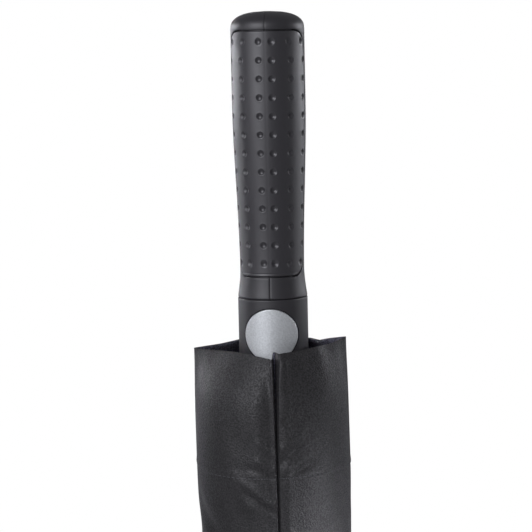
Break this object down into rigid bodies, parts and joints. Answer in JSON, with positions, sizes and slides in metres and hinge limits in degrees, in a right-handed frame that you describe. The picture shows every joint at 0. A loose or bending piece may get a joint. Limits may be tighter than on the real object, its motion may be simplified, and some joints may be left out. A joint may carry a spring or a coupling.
{
  "type": "golf umbrella",
  "caption": "Closed golf umbrella in its carry sleeve, handle up, with a dimpled rubber grip, a silver opening button and a folding frame that opens as one linkage.",
  "frame": {"origin": "centre of the ferrule's flat tip, on the shaft's axis", "axes": "+Z along the shaft from the tip to the handle; the button faces -Y; rib 1 points along +X"},
  "size_m": [0.0784, 0.0784, 1],
  "materials": {
    "shaft_steel": "black painted steel tube",
    "bright_steel": "bright drawn steel wire, pins and stretchers",
    "frame_plastic": "black moulded plastic",
    "rib_glass_fibre": "black pultruded glass fibre",
    "canopy_cloth": "black water-repellent woven cloth",
    "sleeve_cloth": "charcoal woven cloth with a slight sheen",
    "handle_plastic": "charcoal moulded plastic, satin",
    "grip_rubber": "charcoal rubber with small round dimples",
    "button_silver": "satin silver coated plastic"
  },
  "bodies": {
    "handle_and_shaft": {"shaft": "shaft_steel", "handle_pin": "bright_steel", "ferrule": "frame_plastic", "rain_cap": "frame_plastic", "notch": "frame_plastic", "notch_ring": "bright_steel", "handle_shell_left": "handle_plastic", "handle_shell_right": "handle_plastic", "grip_front": "grip_rubber", "grip_back": "grip_rubber", "button_housing": "handle_plastic", "opening_spring": "bright_steel", "button_spring": "bright_steel"},
    "button": {"button": "button_silver", "catch_spring": "bright_steel"},
    "runner": {"runner": "frame_plastic", "runner_ring": "bright_steel", "spring_plunger": "bright_steel"},
    "sleeve": {"sleeve": "sleeve_cloth"},
    "rib_1": {"rib_1": "rib_glass_fibre", "rib_clip_1": "frame_plastic", "rib_tip_1": "frame_plastic", "tie_strap": "canopy_cloth"},
    "rib_2": {"rib_2": "rib_glass_fibre", "rib_clip_2": "frame_plastic", "rib_tip_2": "frame_plastic"},
    "rib_3": {"rib_3": "rib_glass_fibre", "rib_clip_3": "frame_plastic", "rib_tip_3": "frame_plastic"},
    "rib_4": {"rib_4": "rib_glass_fibre", "rib_clip_4": "frame_plastic", "rib_tip_4": "frame_plastic"},
    "rib_5": {"rib_5": "rib_glass_fibre", "rib_clip_5": "frame_plastic", "rib_tip_5": "frame_plastic"},
    "rib_6": {"rib_6": "rib_glass_fibre", "rib_clip_6": "frame_plastic", "rib_tip_6": "frame_plastic"},
    "rib_7": {"rib_7": "rib_glass_fibre", "rib_clip_7": "frame_plastic", "rib_tip_7": "frame_plastic"},
    "rib_8": {"rib_8": "rib_glass_fibre", "rib_clip_8": "frame_plastic", "rib_tip_8": "frame_plastic"},
    "stretcher_1": {"stretcher_1": "bright_steel"},
    "stretcher_2": {"stretcher_2": "bright_steel"},
    "stretcher_3": {"stretcher_3": "bright_steel"},
    "stretcher_4": {"stretcher_4": "bright_steel"},
    "stretcher_5": {"stretcher_5": "bright_steel"},
    "stretcher_6": {"stretcher_6": "bright_steel"},
    "stretcher_7": {"stretcher_7": "bright_steel"},
    "stretcher_8": {"stretcher_8": "bright_steel"},
    "gore_1": {"canopy_gore_1": "canopy_cloth"},
    "gore_2": {"canopy_gore_2": "canopy_cloth"},
    "gore_3": {"canopy_gore_3": "canopy_cloth"},
    "gore_4": {"canopy_gore_4": "canopy_cloth"},
    "gore_5": {"canopy_gore_5": "canopy_cloth"},
    "gore_6": {"canopy_gore_6": "canopy_cloth"},
    "gore_7": {"canopy_gore_7": "canopy_cloth"},
    "gore_8": {"canopy_gore_8": "canopy_cloth"}
  },
  "joints": [
    {"name": "canopy_open", "type": "hinge", "parent": "handle_and_shaft", "child": "rib_1", "pos_m": [0.01, 0, 0.08], "axis": [0, 1, 0], "range_deg": [0, 63.5], "deforming": ["opening_spring", "sleeve", "tie_strap", "catch_spring"]},
    {"name": "rib_2_pivot", "type": "hinge", "parent": "handle_and_shaft", "child": "rib_2", "pos_m": [0.00707, 0.00707, 0.08], "axis": [-0.7071, 0.7071, 0], "range_deg": [0, 63.5]},
    {"name": "rib_3_pivot", "type": "hinge", "parent": "handle_and_shaft", "child": "rib_3", "pos_m": [0, 0.01, 0.08], "axis": [-1, 0, 0], "range_deg": [0, 63.5]},
    {"name": "rib_4_pivot", "type": "hinge", "parent": "handle_and_shaft", "child": "rib_4", "pos_m": [-0.00707, 0.00707, 0.08], "axis": [-0.7071, -0.7071, 0], "range_deg": [0, 63.5]},
    {"name": "rib_5_pivot", "type": "hinge", "parent": "handle_and_shaft", "child": "rib_5", "pos_m": [-0.01, 0, 0.08], "axis": [0, -1, 0], "range_deg": [0, 63.5]},
    {"name": "rib_6_pivot", "type": "hinge", "parent": "handle_and_shaft", "child": "rib_6", "pos_m": [-0.00707, -0.00707, 0.08], "axis": [0.7071, -0.7071, 0], "range_deg": [0, 63.5]},
    {"name": "rib_7_pivot", "type": "hinge", "parent": "handle_and_shaft", "child": "rib_7", "pos_m": [0, -0.01, 0.08], "axis": [1, 0, 0], "range_deg": [0, 63.5]},
    {"name": "rib_8_pivot", "type": "hinge", "parent": "handle_and_shaft", "child": "rib_8", "pos_m": [0.00707, -0.00707, 0.08], "axis": [0.7071, 0.7071, 0], "range_deg": [0, 63.5]},
    {"name": "stretcher_1_pivot", "type": "hinge", "parent": "rib_1", "child": "stretcher_1", "pos_m": [0.0162, 0, 0.39994], "axis": [0, 1, 0], "range_deg": [-127, 0]},
    {"name": "stretcher_2_pivot", "type": "hinge", "parent": "rib_2", "child": "stretcher_2", "pos_m": [0.01146, 0.01146, 0.39994], "axis": [-0.7071, 0.7071, 0], "range_deg": [-127, 0]},
    {"name": "stretcher_3_pivot", "type": "hinge", "parent": "rib_3", "child": "stretcher_3", "pos_m": [0, 0.0162, 0.39994], "axis": [-1, 0, 0], "range_deg": [-127, 0]},
    {"name": "stretcher_4_pivot", "type": "hinge", "parent": "rib_4", "child": "stretcher_4", "pos_m": [-0.01146, 0.01146, 0.39994], "axis": [-0.7071, -0.7071, 0], "range_deg": [-127, 0]},
    {"name": "stretcher_5_pivot", "type": "hinge", "parent": "rib_5", "child": "stretcher_5", "pos_m": [-0.0162, 0, 0.39994], "axis": [0, -1, 0], "range_deg": [-127, 0]},
    {"name": "stretcher_6_pivot", "type": "hinge", "parent": "rib_6", "child": "stretcher_6", "pos_m": [-0.01146, -0.01146, 0.39994], "axis": [0.7071, -0.7071, 0], "range_deg": [-127, 0]},
    {"name": "stretcher_7_pivot", "type": "hinge", "parent": "rib_7", "child": "stretcher_7", "pos_m": [0, -0.0162, 0.39994], "axis": [1, 0, 0], "range_deg": [-127, 0]},
    {"name": "stretcher_8_pivot", "type": "hinge", "parent": "rib_8", "child": "stretcher_8", "pos_m": [0.01146, -0.01146, 0.39994], "axis": [0.7071, 0.7071, 0], "range_deg": [-127, 0]},
    {"name": "runner_pivot", "type": "hinge", "parent": "stretcher_1", "child": "runner", "pos_m": [0.01, 0, 0.71988], "axis": [0, 1, 0], "range_deg": [0, 63.5]},
    {"name": "gore_1_fan", "type": "hinge", "parent": "rib_1", "child": "gore_1", "pos_m": [0.01, 0.00414, 0.08], "axis": [-0.8021, -0.3322, -0.4963], "range_deg": [0, 46.47]},
    {"name": "gore_2_fan", "type": "hinge", "parent": "rib_2", "child": "gore_2", "pos_m": [0.00414, 0.01, 0.08], "axis": [-0.3322, -0.8021, -0.4963], "range_deg": [0, 46.47]},
    {"name": "gore_3_fan", "type": "hinge", "parent": "rib_3", "child": "gore_3", "pos_m": [-0.00414, 0.01, 0.08], "axis": [0.3322, -0.8021, -0.4963], "range_deg": [0, 46.47]},
    {"name": "gore_4_fan", "type": "hinge", "parent": "rib_4", "child": "gore_4", "pos_m": [-0.01, 0.00414, 0.08], "axis": [0.8021, -0.3322, -0.4963], "range_deg": [0, 46.47]},
    {"name": "gore_5_fan", "type": "hinge", "parent": "rib_5", "child": "gore_5", "pos_m": [-0.01, -0.00414, 0.08], "axis": [0.8021, 0.3322, -0.4963], "range_deg": [0, 46.47]},
    {"name": "gore_6_fan", "type": "hinge", "parent": "rib_6", "child": "gore_6", "pos_m": [-0.00414, -0.01, 0.08], "axis": [0.3322, 0.8021, -0.4963], "range_deg": [0, 46.47]},
    {"name": "gore_7_fan", "type": "hinge", "parent": "rib_7", "child": "gore_7", "pos_m": [0.00414, -0.01, 0.08], "axis": [-0.3322, 0.8021, -0.4963], "range_deg": [0, 46.47]},
    {"name": "gore_8_fan", "type": "hinge", "parent": "rib_8", "child": "gore_8", "pos_m": [0.01, -0.00414, 0.08], "axis": [-0.8021, 0.3322, -0.4963], "range_deg": [0, 46.47]},
    {"name": "button_press", "type": "slide", "parent": "handle_and_shaft", "child": "button", "axis": [0, 1, 0], "range_m": [0, 0.002], "stiffness_N_per_m": 900, "springref_m": -0.0008, "deforming": ["button_spring"]},
    {"name": "sleeve_slide", "type": "slide", "parent": "handle_and_shaft", "child": "sleeve", "axis": [0, 0, -1], "range_m": [0, 0.86]}
  ],
  "couplings": [
    {"joint": "rib_2_pivot", "follows": "canopy_open", "ratio": 1},
    {"joint": "rib_3_pivot", "follows": "canopy_open", "ratio": 1},
    {"joint": "rib_4_pivot", "follows": "canopy_open", "ratio": 1},
    {"joint": "rib_5_pivot", "follows": "canopy_open", "ratio": 1},
    {"joint": "rib_6_pivot", "follows": "canopy_open", "ratio": 1},
    {"joint": "rib_7_pivot", "follows": "canopy_open", "ratio": 1},
    {"joint": "rib_8_pivot", "follows": "canopy_open", "ratio": 1},
    {"joint": "stretcher_1_pivot", "follows": "canopy_open", "ratio": -2},
    {"joint": "stretcher_2_pivot", "follows": "canopy_open", "ratio": -2},
    {"joint": "stretcher_3_pivot", "follows": "canopy_open", "ratio": -2},
    {"joint": "stretcher_4_pivot", "follows": "canopy_open", "ratio": -2},
    {"joint": "stretcher_5_pivot", "follows": "canopy_open", "ratio": -2},
    {"joint": "stretcher_6_pivot", "follows": "canopy_open", "ratio": -2},
    {"joint": "stretcher_7_pivot", "follows": "canopy_open", "ratio": -2},
    {"joint": "stretcher_8_pivot", "follows": "canopy_open", "ratio": -2},
    {"joint": "runner_pivot", "follows": "canopy_open", "ratio": 1},
    {"joint": "gore_1_fan", "follows": "canopy_open", "ratio": 0.7318},
    {"joint": "gore_2_fan", "follows": "canopy_open", "ratio": 0.7318},
    {"joint": "gore_3_fan", "follows": "canopy_open", "ratio": 0.7318},
    {"joint": "gore_4_fan", "follows": "canopy_open", "ratio": 0.7318},
    {"joint": "gore_5_fan", "follows": "canopy_open", "ratio": 0.7318},
    {"joint": "gore_6_fan", "follows": "canopy_open", "ratio": 0.7318},
    {"joint": "gore_7_fan", "follows": "canopy_open", "ratio": 0.7318},
    {"joint": "gore_8_fan", "follows": "canopy_open", "ratio": 0.7318}
  ]
}
